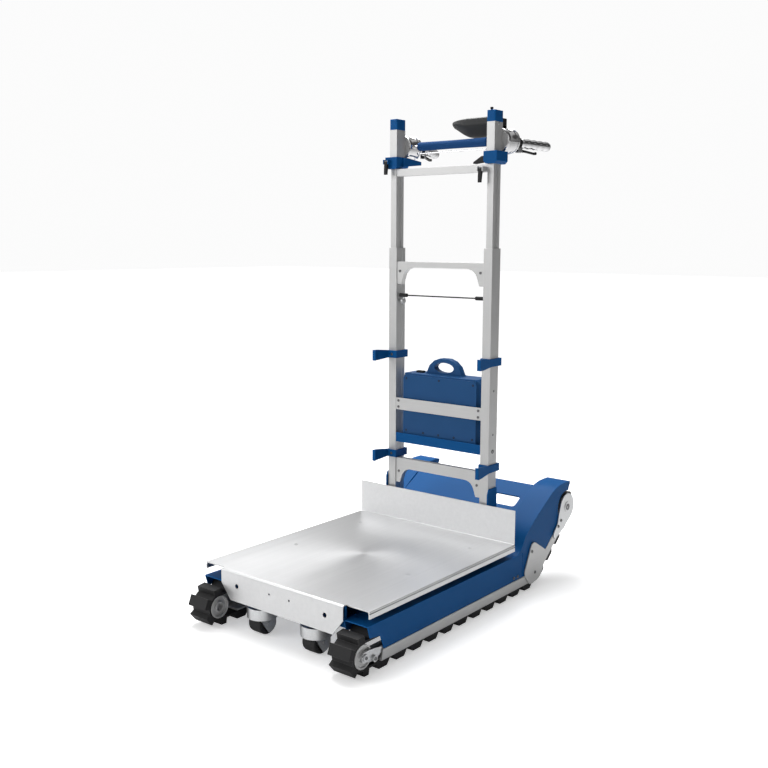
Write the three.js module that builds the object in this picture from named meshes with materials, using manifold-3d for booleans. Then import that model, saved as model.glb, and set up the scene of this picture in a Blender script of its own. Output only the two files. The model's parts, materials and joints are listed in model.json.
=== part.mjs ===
// Powered, tracked platform trolley for stairs: a steel load platform carried between two
// rubber crawler tracks, with a telescopic mast, a lift-out battery and a push bar at the rear.
// Millimetres, +Z up. The loading edge faces -Y, the operator stands at +Y, the tracks touch Z = 0.
import * as THREE from "three";
import { mergeVertices } from "three/addons/utils/BufferGeometryUtils.js";
import Module from "manifold-3d";

const wasm = await Module();
wasm.setup();

// ---------------------------------------------------------------- driving dimensions
const GAP = 0.4;                    // air left between neighbouring pieces
const FRAME_MID = 488.55;           // from the platform's front edge back to the middle of the length

// load platform, measured from its front edge (Y = 0)
const PLATE = { half: 300, length: 679.6, top: 165, sheet: 3, lip: 20 };
const APRON = { half: 223, face: -12, bottom: 81, corner: 125, cornerHalf: 188 };
const KICK = { half: 297, y: 679.5, sheet: 3, top: 269 };

// side channels that carry the platform over the tracks
const RAIL = { inner: 219, outer: 299, wall: 3, top: 127, bottom: 52, front: -7, rear: 727 };

// crawler belt: two pulleys, a knee, and a climb towards the rear
const BELT = { inner: 224, outer: 294, thick: 6, lug: 16, climb: 38.9 };
const IDLER = { y: -19, z: 54, r: 32 };
const DRIVE = { y: 994, z: 216, r: 36 };
const GUIDE = { wall: 5, bed: 6, height: 28.4, front: 46 };

// mast
const POST = { inner: 163, outer: 193, front: 691.5, back: 736.5, wall: 2.6, bottom: 101, top: 1041 };
const STEM = { inner: 168, outer: 190, front: 695, back: 732.5, wall: 2.2, bottom: 800, top: 1400 };
const SLEEVE = { inner: 165.6, outer: 192.4, front: 692.2, back: 735.4, bottom: 1321.4, top: 1404.6 };
const CLAMP = { inner: 160, outer: 205, front: 684, back: 746, bottom: 1285, top: 1321 };
const CAP = { top: 1437 };
const CAM = { y: 677, left: [-194, 1304], right: [156, 1268] };
const GRIP_Z = 1355;                // height of the push bar and both handles
const POST_X = (POST.inner + POST.outer) / 2 + 1.5;

// casters under the front edge
const CASTER = { x: 100, y: 46, trail: 22, r: 32, width: 46, skirt: 42, head: 28, top: 99.4 };

// drive unit, low between the tails
const MOTOR = { y: 745, z: 92, r: 42 };
const OUTPUT = { y: 800, z: 92, r: 52 };

// handles: the grip bends out and a little down at BEND.y
const BEND = { y: 850, out: 16, dip: 2, length: 126 };

// battery pack
const PACK = { half: 148, front: 703, back: 773, bottom: 423, top: 645, arch: 697 };

// ---------------------------------------------------------------- solids
// One closed three.js geometry becomes a solid that can be joined and cut.
function solid(geometry) {
  const bare = geometry.index ? geometry.toNonIndexed() : geometry.clone();
  bare.deleteAttribute("normal");
  bare.deleteAttribute("uv");
  const merged = mergeVertices(bare, 1e-4);
  return new wasm.Manifold(new wasm.Mesh({
    numProp: 3,
    vertProperties: new Float32Array(merged.attributes.position.array),
    triVerts: new Uint32Array(merged.index.array),
  }));
}

// A box given by its low and high X, Y and Z.
function box(x0, x1, y0, y1, z0, z1) {
  const g = new THREE.BoxGeometry(x1 - x0, y1 - y0, z1 - z0);
  g.translate((x0 + x1) / 2, (y0 + y1) / 2, (z0 + z1) / 2);
  return solid(g);
}

function outline(points, holes = []) {
  const shape = new THREE.Shape(points.map(([a, b]) => new THREE.Vector2(a, b)));
  for (const hole of holes) shape.holes.push(new THREE.Path(hole.map(([a, b]) => new THREE.Vector2(a, b))));
  return shape;
}

// Prisms along X, Y and Z, from an outline in the other two axes.
function prismX(yz, x0, x1, holes) {
  const g = new THREE.ExtrudeGeometry(outline(yz, holes), { depth: x1 - x0, bevelEnabled: false });
  g.applyMatrix4(new THREE.Matrix4().set(0, 0, 1, x0, 1, 0, 0, 0, 0, 1, 0, 0, 0, 0, 0, 1));
  return solid(g);
}
function prismY(xz, y0, y1, holes) {
  const g = new THREE.ExtrudeGeometry(outline(xz, holes), { depth: y1 - y0, bevelEnabled: false });
  g.applyMatrix4(new THREE.Matrix4().set(1, 0, 0, 0, 0, 0, -1, y1, 0, 1, 0, 0, 0, 0, 0, 1));
  return solid(g);
}
function prismZ(xy, z0, z1, holes) {
  const g = new THREE.ExtrudeGeometry(outline(xy, holes), { depth: z1 - z0, bevelEnabled: false });
  g.translate(0, 0, z0);
  return solid(g);
}

// Cylinders along X, Y and Z; the last argument is the number of sides.
function rodX(y, z, r, x0, x1, sides = 24) {
  return prismX(circle(y, z, r, sides), x0, x1);
}
function rodY(x, z, r, y0, y1, sides = 24) {
  return prismY(circle(x, z, r, sides), y0, y1);
}
function rodZ(x, y, r, z0, z1, sides = 24) {
  return prismZ(circle(x, y, r, sides), z0, z1);
}
function circle(a, b, r, sides, turn = 0) {
  return Array.from({ length: sides }, (_, i) => {
    const t = turn + (i / sides) * 2 * Math.PI;
    return [a + r * Math.cos(t), b + r * Math.sin(t)];
  });
}
function arc(a, b, r, from, to, steps) {
  return Array.from({ length: steps + 1 }, (_, i) => {
    const t = ((from + ((to - from) * i) / steps) * Math.PI) / 180;
    return [a + r * Math.cos(t), b + r * Math.sin(t)];
  });
}
// Rectangle with rounded corners.
function rounded(a0, a1, b0, b1, r, steps = 4) {
  return [
    ...arc(a1 - r, b0 + r, r, -90, 0, steps), ...arc(a1 - r, b1 - r, r, 0, 90, steps),
    ...arc(a0 + r, b1 - r, r, 90, 180, steps), ...arc(a0 + r, b0 + r, r, 180, 270, steps),
  ];
}
// The span from near to far on the right (side = 1) or on the left (side = -1), lowest X first.
const between = (side, near, far) => [side * near, side * far].sort((p, q) => p - q);
const join = (...parts) => parts.reduce((sum, part) => sum.add(part));
const cut = (whole, ...parts) => parts.reduce((rest, part) => rest.subtract(part), whole);

function toGeometry(body, mirrored) {
  const { vertProperties, triVerts, numProp } = body.getMesh();
  const positions = [];
  for (let i = 0; i < vertProperties.length; i += numProp) {
    const [x, y, z] = vertProperties.slice(i, i + 3);
    positions.push(mirrored ? -x : x, y, z);
  }
  const index = Array.from(triVerts);
  if (mirrored) {
    for (let i = 0; i < index.length; i += 3) [index[i], index[i + 1]] = [index[i + 1], index[i]];
  }
  const g = new THREE.BufferGeometry();
  g.setAttribute("position", new THREE.Float32BufferAttribute(positions, 3));
  g.setIndex(index);
  g.computeVertexNormals();
  return g;
}

// ---------------------------------------------------------------- materials
function finish(color, metalness, roughness) {
  return new THREE.MeshStandardMaterial({ color, metalness, roughness });
}
const steel = finish(0xc9cacb, 0.9, 0.35);
const aluminium = finish(0xd2d3d4, 0.6, 0.45);
const paint = finish(0x17528f, 0.2, 0.45);
const rubber = finish(0x2b2b2b, 0, 0.8);
const zinc = finish(0xb9bcbf, 0.8, 0.4);
const chrome = finish(0xdddddd, 1, 0.12);
const plastic = finish(0x1c1c1e, 0, 0.55);
const shell = finish(0x1c4f86, 0, 0.5);
const foam = finish(0x1b4f92, 0, 0.9);
const panel = finish(0x4a4c4e, 0, 0.6);
const motorPaint = finish(0x3a3d40, 0.3, 0.6);

const trolley = new THREE.Group();
trolley.position.set(0, -FRAME_MID, 0);

function add(name, body, material, mirrored = false) {
  const mesh = new THREE.Mesh(toGeometry(body, mirrored), material);
  mesh.name = name;
  trolley.add(mesh);
}
// The right-hand piece as drawn, and its mirror image on the left.
function addPair(name, body, material) {
  add(`${name}_right`, body, material);
  add(`${name}_left`, body, material, true);
}

// ---------------------------------------------------------------- platform
// One folded sheet: deck, grooved side lips, a front apron with cut corners and a rear kick plate.
{
  const { half, length, top, sheet, lip } = PLATE;
  const side = [
    [half, top - lip], [half, top - 8], [half - 2.6, top - 8], [half - 2.6, top - 5], [half, top - 5],
    [half, top],
  ];
  const inside = [[half - 5.5, top - sheet], [half - 4, top - 11], [half - 4, top - lip]];
  const flip = (points) => points.map(([x, z]) => [-x, z]);
  const section = [...side, ...flip(side).reverse(), ...flip(inside).reverse(), ...inside];
  const deck = prismY(section, 0, length);
  const bend = [
    [0.5, top], [-6, top], [-9, top - 1], [-11, top - 3], [APRON.face, top - 6], [APRON.face, APRON.bottom],
    [APRON.face + sheet, APRON.bottom], [APRON.face + sheet, top - 6.5], [-8, top - 4.5], [-6, top - sheet],
    [0.5, top - sheet],
  ];
  const corner = [
    [APRON.cornerHalf, 60], [APRON.cornerHalf, APRON.bottom], [APRON.half, APRON.corner], [APRON.half, 200],
    [APRON.half + 40, 200], [APRON.half + 40, 60],
  ];
  const holes = [];
  for (const s of [-1, 1]) {
    holes.push(rodY(s * 161.6, 125.6, 6.5, -20, 0, 20), rodY(s * 36.5, 132.8, 3, -20, 0, 12));
  }
  const apron = cut(
    prismX(bend, -APRON.half, APRON.half),
    prismY(corner, -30, 10), prismY(flip(corner), -30, 10), ...holes,
  );
  const kick = box(-KICK.half, KICK.half, KICK.y, KICK.y + KICK.sheet, PLATE.top - PLATE.sheet, KICK.top);
  add("platform_sheet", join(deck, apron, kick), steel);
}

// Cross beams between the side channels; the rear one has ears that hold the mast's feet.
const BEAM_X = RAIL.inner - GAP;
const BEAM_TOP = PLATE.top - PLATE.sheet - GAP;
{
  const tube = (y0, y1, z0) => cut(
    box(-BEAM_X, BEAM_X, y0, y1, z0, BEAM_TOP),
    box(-BEAM_X - 1, BEAM_X + 1, y0 + 4, y1 - 4, z0 + 4, BEAM_TOP - 4),
  );
  add("cross_beam_front", tube(4, 88, 100), paint);
  const ear = [[676, 101], [736, 101], [736, 315], [692, 315], [685, 300], [685, 139], [676, 139]];
  const ears = [-1, 1].map((s) => prismX(ear, ...between(s, POST.outer + 0.6, POST.outer + 4.6)));
  add("cross_beam_rear", join(tube(620, 679.4, 101), ...ears), paint);
}

// ---------------------------------------------------------------- side channels
{
  const { inner, outer, wall, top, bottom, front, rear } = RAIL;
  const section = [
    [inner, bottom], [inner + wall, bottom], [inner + wall, top - wall], [outer - wall, top - wall],
    [outer - wall, bottom], [outer, bottom], [outer, top], [inner, top],
  ];
  // the front end is cut back so that the track's front wheel stays in the open
  const nose = [
    [-30, 140], [front, 140], [front, top], [3, 95], [42, 91], [60, bottom - 5], [60, 0], [-30, 0],
  ];
  addPair("side_rail", cut(prismY(section, front - 5, rear), prismX(nose, 200, 320)), paint);
}

// ---------------------------------------------------------------- belt path
// The belt's inner line as straight and curved stretches in the Y-Z plane, walked so that
// the outward side is always on the right. at(s) gives the point and outward normal.
const CLIMB = (BELT.climb * Math.PI) / 180;
const UP = [Math.cos(CLIMB), Math.sin(CLIMB)];
const OUT = [UP[1], -UP[0]];
const LOW_Z = IDLER.z - IDLER.r;
const HIGH_Z = IDLER.z + IDLER.r;
const KNEE_R = 30;
const BACK_R = 45;
const lowTangent = [DRIVE.y + DRIVE.r * OUT[0], DRIVE.z + DRIVE.r * OUT[1]];
const highTangent = [DRIVE.y - DRIVE.r * OUT[0], DRIVE.z - DRIVE.r * OUT[1]];
const kneeY = lowTangent[0] - (lowTangent[1] - LOW_Z) / Math.tan(CLIMB);
const backY = highTangent[0] - (highTangent[1] - HIGH_Z) / Math.tan(CLIMB);

function makePath() {
  const kneeT = KNEE_R * Math.tan(CLIMB / 2);
  const backT = BACK_R * Math.tan(CLIMB / 2);
  const line = (a, b) => ({
    length: Math.hypot(b[0] - a[0], b[1] - a[1]),
    at(s) {
      const l = this.length;
      const d = [(b[0] - a[0]) / l, (b[1] - a[1]) / l];
      return { p: [a[0] + d[0] * s, a[1] + d[1] * s], n: [d[1], -d[0]] };
    },
  });
  // r > 0 bends towards the inside of the loop, r < 0 bends away from it
  const bend = (c, r, from, to) => ({
    length: Math.abs(((to - from) * Math.PI) / 180 * r),
    curved: true,
    at(s) {
      const t = ((from + ((to - from) * s) / this.length) * Math.PI) / 180;
      const e = [Math.cos(t), Math.sin(t)];
      return { p: [c[0] + Math.abs(r) * e[0], c[1] + Math.abs(r) * e[1]], n: r > 0 ? e : [-e[0], -e[1]] };
    },
  });
  const knee = [kneeY - kneeT, LOW_Z];
  const kneeEnd = [kneeY + kneeT * UP[0], LOW_Z + kneeT * UP[1]];
  const back = [backY + backT * UP[0], HIGH_Z + backT * UP[1]];
  const backEnd = [backY - backT, HIGH_Z];
  const a = BELT.climb;
  return [
    line([IDLER.y, LOW_Z], knee),
    bend([knee[0], LOW_Z + KNEE_R], KNEE_R, -90, -90 + a),
    line(kneeEnd, lowTangent),
    bend([DRIVE.y, DRIVE.z], DRIVE.r, -90 + a, 90 + a),
    line(highTangent, back),
    bend([backEnd[0], HIGH_Z + BACK_R], -BACK_R, -90 + a, -90),
    line(backEnd, [IDLER.y, HIGH_Z]),
    bend([IDLER.y, IDLER.z], IDLER.r, 90, 270),
  ];
}
const path = makePath();
const starts = path.map((_, i) => path.slice(0, i).reduce((sum, piece) => sum + piece.length, 0));
const LOOP = starts.at(-1) + path.at(-1).length;
function onPath(s, h) {
  const t = ((s % LOOP) + LOOP) % LOOP;
  let i = path.length - 1;
  while (starts[i] > t) i -= 1;
  const { p, n } = path[i].at(t - starts[i]);
  return [p[0] + n[0] * h, p[1] + n[1] * h];
}
// Points along the path between two distances, at one offset from the inner line.
function along(s0, s1, h) {
  const stops = [s0];
  path.forEach((piece, i) => {
    const steps = piece.curved ? Math.max(2, Math.ceil(piece.length / 9)) : 1;
    for (let k = 0; k <= steps; k += 1) {
      const s = starts[i] + (piece.length * k) / steps;
      if (s > s0 + 0.5 && s < s1 - 0.5) stops.push(s);
    }
  });
  stops.push(s1);
  return stops.filter((s, i) => i === 0 || s - stops[i - 1] > 0.3).map((s) => onPath(s, h));
}

// Tread lugs: wide blocks on the straight runs, narrower ones where the belt turns.
function lugs() {
  const list = [];
  const wide = (s) => list.push({ s, base: 28, tip: 16 });
  const narrow = (s) => list.push({ s, base: 11.5, tip: 9 });
  narrow(14);
  for (let k = 0; k < 11; k += 1) wide(79 + 71 * k);
  const climb = starts[2];
  for (let k = 0; k < 4; k += 1) wide(climb + 29 + 65 * k);
  for (const angle of [21, 82, 143]) narrow(starts[3] + (DRIVE.r * angle * Math.PI) / 180);
  for (let k = 0; k < 3; k += 1) wide(starts[4] + 45 + 70 * k);
  for (let k = 0; k < 11; k += 1) wide(starts[6] + 30 + 69 * k);
  for (const angle of [5, 68, 131]) narrow(starts[7] + (IDLER.r * angle * Math.PI) / 180);
  return list;
}
function beltBody(x0, x1) {
  const blocks = lugs();
  const points = [];
  for (const { s, base, tip } of blocks) {
    points.push({ s: s - base, h: BELT.thick }, { s: s - tip, h: BELT.thick + BELT.lug });
    points.push({ s: s + tip, h: BELT.thick + BELT.lug }, { s: s + base, h: BELT.thick });
  }
  path.forEach((piece, i) => {
    const steps = piece.curved ? Math.max(2, Math.ceil(piece.length / 9)) : 1;
    for (let k = 0; k < steps; k += 1) {
      const s = starts[i] + (piece.length * k) / steps;
      if (!blocks.some((lug) => Math.abs(s - lug.s) < lug.base + 1)) points.push({ s, h: BELT.thick });
    }
  });
  points.sort((p, q) => p.s - q.s);
  const outer = points.map(({ s, h }) => onPath(s, h));
  return prismX(outer, x0, x1, [along(0, LOOP - 0.6, 0).reverse()]);
}
addPair("crawler_belt", beltBody(BELT.inner, BELT.outer), rubber);

// ---------------------------------------------------------------- track guides and wheels
// Angle section that follows the belt: a bed the belt runs on and an outer wall.
{
  const s0 = GUIDE.front - IDLER.y;
  const s1 = starts[3] - 62;
  const bed = [...along(s0, s1, -0.6), ...along(s0, s1, -0.6 - GUIDE.bed).reverse()];
  const wall = [...along(s0, s1, -0.6), ...along(s0 + 8, s1, -0.6 - GUIDE.height).reverse()];
  const x = BELT.outer + 1;
  const guide = join(prismX(bed, BELT.inner + 2, x + 1), prismX(wall, x, x + GUIDE.wall));
  addPair("track_guide", guide, aluminium);
}
// Front wheel with a recessed face, turning on the tensioner's pin.
{
  const { y, z, r } = IDLER;
  const wheel = cut(
    rodX(y, z, r - 0.4, BELT.inner - 1, BELT.outer + 1.5, 40),
    rodX(y, z, 10.6, 200, 320, 24),
    cut(rodX(y, z, r - 5, BELT.outer - 2, 320, 32), rodX(y, z, 15, 280, 330, 24)),
    cut(rodX(y, z, r - 5, 200, BELT.inner + 6, 32), rodX(y, z, 15, 190, 240, 24)),
  );
  addPair("idler_wheel", wheel, aluminium);
  // arm with a clevis boss outside, and a tongue that slides inside the guide
  const x0 = BELT.outer + 2.2;
  const arm = [
    ...arc(y, z, 14, 100, 275, 10), [10, 36], ...arc(14, 42, 8.5, 250, 330, 4),
    [40, 46], [44, 62], [20, 66], [0, 68],
  ];
  const plate = prismX(arm, x0, x0 + 5);
  const pin = rodX(y, z, 10, BELT.inner + 14, x0 + 1, 24);
  const cap = rodX(y, z, 9, x0, x0 + 9, 24);
  const boss = rodX(14, 42, 8.5, x0, x0 + 11, 24);
  const tongue = box(BELT.outer - 7, BELT.outer + 0.5, 32, 130, 42, 60);
  const bridge = box(BELT.outer - 7, x0 + 2, 32, 42, 42, 60);
  addPair("front_tensioner", join(plate, pin, cap, boss, tongue, bridge), zinc);
}
// Rear drum with ridges, on an axle that the rear tensioner carries.
{
  const { y, z, r } = DRIVE;
  const ring = circle(y, z, r - 0.5, 48).map(([a, b], i) => {
    const k = i % 4 < 2 ? 1 : (r - 4) / (r - 0.5);
    return [y + (a - y) * k, z + (b - z) * k];
  });
  const drum = prismX(ring, BELT.inner + 2, BELT.outer - 2);
  const axle = rodX(y, z, 12, RAIL.inner + RAIL.wall + 0.6, 303, 24);
  addPair("drive_drum", join(drum, axle), zinc);
}
// Motor and gearbox in one casting, with tubes that reach the tails' inner walls.
{
  const { y, z, r } = OUTPUT;
  const housing = prismX([
    ...arc(y, z, r, -90, 90, 12), [MOTOR.y, z + r - 4], [705, z + 28], [705, z - 32], [MOTOR.y, z - r + 2],
  ], -62, 62);
  const motor = rodX(MOTOR.y, MOTOR.z, MOTOR.r, -148, -61, 32);
  const fan = rodX(MOTOR.y, MOTOR.z, MOTOR.r - 7, -158, -147, 32);
  const tube = rodX(y, z, 20.3, -RAIL.inner + 4, RAIL.inner - 4, 22);
  const flanges = [-1, 1].map((s) => rodX(y, z, 32, ...between(s, RAIL.inner - 8, RAIL.inner - GAP), 24));
  add("drive_gearbox", join(housing, motor, fan, tube, ...flanges), motorPaint);
}

// ---------------------------------------------------------------- tails
// Hollow hump over each climbing track, open underneath and around the rear drum.
const TAIL_TOP = [
  [690, 127.6], [704, 131], [716, 139], [728, 153], [741, 173], [760, 190], [795, 215], [835, 240],
  [870, 262], [905, 281], [930, 291], [955, 296], [985, 297.4], [1012, 297.4], [1019, 295],
];
function offset(points, d) {
  return points.map((p, i) => {
    const a = points[Math.max(0, i - 1)];
    const b = points[Math.min(points.length - 1, i + 1)];
    const l = Math.hypot(b[0] - a[0], b[1] - a[1]);
    return [p[0] + ((b[1] - a[1]) / l) * d, p[1] - ((b[0] - a[0]) / l) * d];
  });
}
{
  const { inner, outer, wall } = RAIL;
  const clear = -0.6 - GUIDE.height - 1;
  const s0 = 738 - IDLER.y;
  const under = along(s0, starts[3] - 62, clear);
  const ring = arc(DRIVE.y, DRIVE.z, 53, 212, 75, 12);
  const side = [
    ...under, ...ring, [1012, 280], [1018, 288], ...TAIL_TOP.toReversed(), [728.6, 127.4], [728.6, 53],
  ];
  const roof = offset(TAIL_TOP, wall);
  const hollow = [
    [727, 20], [1100, 20], [1100, 262], [1014, 277], ...roof.slice(3, -1).reverse(), [727, 140],
  ];
  const front = [[692, 100], [731, 100], [731, 152], ...roof.slice(1, 4).reverse(), [692, 126]];
  addPair("tail_cover", cut(
    prismX(side, inner, outer),
    prismX(hollow, inner + wall, outer - wall),
    prismX(front, inner + wall, outer - wall),
  ), paint);
}
// Cover plate over each knee, bolted outside the guide.
{
  const corners = [[779, 156], [870, 101], [830, 25], [767, 17], [733, 61]];
  const r = [24, 12, 22, 14, 12];
  const plate = [];
  corners.forEach((p, i) => {
    const a = corners[(i + 4) % 5];
    const b = corners[(i + 1) % 5];
    const unit = (q) => {
      const l = Math.hypot(q[0] - p[0], q[1] - p[1]);
      return [(q[0] - p[0]) / l, (q[1] - p[1]) / l];
    };
    const [u, v] = [unit(a), unit(b)];
    const curve = new THREE.QuadraticBezierCurve(
      new THREE.Vector2(p[0] + u[0] * r[i], p[1] + u[1] * r[i]), new THREE.Vector2(...p),
      new THREE.Vector2(p[0] + v[0] * r[i], p[1] + v[1] * r[i]),
    );
    plate.push(...curve.getPoints(4).map((q) => [q.x, q.y]));
  });
  addPair("knee_plate", prismX(plate, 300.4, 304.4), aluminium);
}
// Rear tensioner: round head on the drum's axle, tapering arm along the climb.
{
  const { y, z } = DRIVE;
  const at = (s, n) => [y - UP[0] * s + OUT[0] * n, z - UP[1] * s + OUT[1] * n];
  const plate = [
    ...arc(y, z, 44, -51, 160, 16),
    at(52, -20), at(72, -4), at(108, 2), at(116, 12), at(112, 26), at(60, 38),
  ];
  const head = rodX(y, z, 17, 303, 306.5, 24);
  const bore = rodX(y, z, 12.6, 290, 304, 24);
  addPair("rear_tensioner", cut(join(prismX(plate, 300.4, 304.4), head), bore), zinc);
}
// Sloped panel between the tails, with a window to the right of the mast.
{
  const tilt = 0.5786;
  const height = (y) => PLATE.top + 50 + (y - 795) * tilt;
  const sheet = [
    [700, 150], [796, 150], [796, height(796) - 4.5], [922, height(922) - 4.5], [923, 262], [926, 262],
    [926, height(923) - 8], [923, height(923)], [793, height(793)], [793, 153], [700, 153],
  ];
  const x = RAIL.inner - GAP;
  const opening = prismZ(rounded(112, 204, 829, 870, 9), 180, 300);
  const feet = [-1, 1].map((s) => box(...between(s, POST.inner - 3, 200), 699, 738.5, 140, 160));
  add("rear_panel", cut(prismX(sheet, -x, x), opening, ...feet), paint);
}

// ---------------------------------------------------------------- mast, fixed part
{
  const { inner, outer, front, back, wall, bottom, top } = POST;
  const tube = cut(
    box(inner, outer, front, back, bottom, top),
    box(inner + wall, outer - wall, front + wall, back - wall, bottom - 1, top + 1),
    // shallow groove along the inner side
    box(inner - 1, inner + 1.2, 708, 720, bottom - 1, top + 1),
  );
  addPair("mast_post", tube, aluminium);
}
const BAR_X = POST.inner - GAP;
// Bars with a bracket curving down to each post.
function gussetBar(top, bottom, reach, drop) {
  const half = [
    [0, top], [0, bottom], [BAR_X - reach, bottom], ...arc(BAR_X - reach, bottom - drop, drop, 90, 12, 6),
    [BAR_X - reach + drop + 6, bottom - drop - 12], [BAR_X, bottom - drop - 12], [BAR_X, top],
  ];
  const left = half.slice(1).map(([x, z]) => [-x, z]).reverse();
  return [...left.slice(0, -1), ...half.slice(1)];
}
{
  const bar = (z0, z1, reach, drop) => prismY(gussetBar(z1, z0, reach, drop), 694, 712);
  add("upper_crossbar", bar(979.5, 998, 62, 40), aluminium);
  add("lower_crossbar", bar(331.5, 365, 58, 36), aluminium);
  add("middle_bar", box(-BAR_X, BAR_X, 692, 696, 524, 562.5), aluminium);
  const tray = [
    [692, 418], [780, 418], [780, 440], [777, 440], [777, 421], [695, 421], [695, 448], [692, 448],
  ];
  add("battery_tray", prismX(tray, -BAR_X, BAR_X), paint);
}
// Four straps round the posts, each with a tongue that reaches forward and flares at its end.
function hook(z0, z1, flare) {
  const { inner, outer, front, back } = POST;
  const band = cut(
    box(inner - 3.6, outer + 4, front - 3.6, back + 12, z0, z1),
    box(inner - 0.4, outer + 0.4, front - 0.4, back + 9, z0 - 1, z1 + 1),
  );
  const plan = [
    [outer + 0.4, front], [outer + 4, front], [outer + 11, 622], [outer + 7.4, 621.6], [outer + 4, 650],
  ];
  const blade = prismZ(plan, z0 - flare, z1 + flare);
  const trim = (sign) => {
    const z = sign > 0 ? z1 : z0;
    const far = z + sign * 40;
    return prismX([[front + 1, z], [640, z + sign * flare], [640, far], [front + 1, far]], 150, 240);
  };
  const lip = box(outer - 1, outer + 9, 621.6, 625, z0 - flare, z1 + flare);
  return cut(join(band, blade, lip), trim(1), trim(-1));
}
addPair("upper_hook", hook(690.5, 714, 5), paint);
addPair("lower_hook", hook(365.6, 389, 6), paint);

// ---------------------------------------------------------------- casters
{
  const { x, y, trail, r, width, skirt, head, top } = CASTER;
  const axle = [y - trail, r];
  const reach = r - 6;
  // legs follow the wheel behind the axle and run straight down in front of it
  const leg = [
    [axle[0] - 30, 75], [axle[0] - 30, 47], [axle[0] - 4, r - reach + 1],
    ...arc(...axle, reach, -90, 35, 6), [axle[0] + 27, 75],
  ];
  const crown = cut(rodZ(x, axle[0], skirt, 47, 77, 36), rodZ(x, axle[0], skirt - 2.4, 40, 71, 36));
  const fork = join(
    crown,
    rodZ(x, y, head, 76, top, 32),
    ...[-1, 1].map((s) => {
      const [a, b] = between(s, width / 2 + 1.5, width / 2 + 4.3);
      return prismX(leg, x + a, x + b);
    }),
    rodX(...axle, 5, x - width / 2 - 6, x + width / 2 + 6, 16),
  );
  const wheel = cut(
    rodX(...axle, r, x - width / 2, x + width / 2, 40),
    rodX(...axle, 5.5, x - 60, x + 60, 16),
    ...[-1, 1].map((s) => {
      const [a, b] = between(s, width / 2 - 5, width / 2 + 5);
      return cut(rodX(...axle, r - 9, x + a, x + b, 32), rodX(...axle, 12, x + a - 1, x + b + 1, 20));
    }),
  );
  addPair("caster_fork", fork, zinc);
  addPair("caster_wheel", wheel, rubber);
}

// ---------------------------------------------------------------- telescopic part
// Two cheeks that reach forward from y and hold a cam lever's pin.
function camFork(x, z, y) {
  return [-1, 1].map((s) => {
    const [a, b] = between(s, 7.4, 10);
    return box(x + a, x + b, CAM.y - 6, y, z - 5, z + 9);
  });
}
{
  const { inner, outer, front, back, wall, bottom, top } = STEM;
  const tube = cut(
    box(inner, outer, front, back, bottom, top),
    box(inner + wall, outer - wall, front + wall, back - wall, bottom - 1, top + 1),
    box(inner - 1, inner + 1.2, 708, 719, bottom - 1, top + 1),
    box(outer - 1.2, outer + 1, 708, 719, bottom - 1, top + 1),
  );
  addPair("inner_post", tube, aluminium);
  const x = inner - GAP;
  const bar = cut(box(-x, x, 696, 716, 1262, 1284.4), box(-x - 1, x + 1, 699, 713, 1265, 1281.4));
  add("top_crossbar", join(bar, ...camFork(...CAM.right, 697)), aluminium);
}
// Carriage that slides on the inner posts: sleeves with eight-sided hubs, caps and clamps.
{
  const { inner, outer, front, back, bottom, top } = SLEEVE;
  const [x0, x1] = [STEM.inner - 0.6, STEM.outer + 0.6];
  const bore = (z0, z1) => box(x0, x1, STEM.front - 0.6, STEM.back + 0.6, z0, z1);
  const hub = prismY(circle(POST_X, GRIP_Z, 33.5, 8, Math.PI / 8), back - 1, 788);
  addPair("sleeve", cut(
    join(box(inner, outer, front, back, bottom, top), hub),
    bore(bottom - 1, top + 1),
    rodY(POST_X, GRIP_Z, 12.6, 742, 800, 24),
    rodX(758, GRIP_Z, 5.8, 130, POST_X - 15, 16),
  ), aluminium);
  const lid = prismZ(rounded(inner - 0.8, outer + 0.8, front - 0.8, back + 0.8, 3, 2), top + GAP, CAP.top);
  add("post_cap_left", lid, paint, true);
  add("post_cap_right", cut(lid, rodZ(POST_X - 6, 704, 3.8, CAP.top - 12, CAP.top + 5, 16)), paint);

  const c = CLAMP;
  const block = [
    [c.inner, c.bottom + 8], [c.inner + 8, c.bottom], [c.outer - 8, c.bottom], [c.outer, c.bottom + 8],
    [c.outer, c.top], [c.inner, c.top],
  ];
  const arm = [[c.front + 30, 1292], [806, 1302], [806, 1313], [c.back, 1319], [c.front + 30, 1319]];
  const clamp = join(prismY(block, c.front, c.back), prismX(arm, c.inner - 6, c.inner + 2));
  const hole = bore(c.bottom - 1, c.top + 1);
  add("post_clamp_right", cut(clamp, hole), paint);
  const [camX, camZ] = CAM.left;
  add("post_clamp_left", cut(join(clamp, ...camFork(-camX, camZ, c.front + 1)), hole), paint, true);
}
// push bar: a steel rod in a foam grip
add("push_bar", join(
  rodX(758, GRIP_Z, 5, -(POST_X - 16), POST_X - 16, 16), rodX(758, GRIP_Z, 13.5, -128, 128, 32),
), foam);

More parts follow.
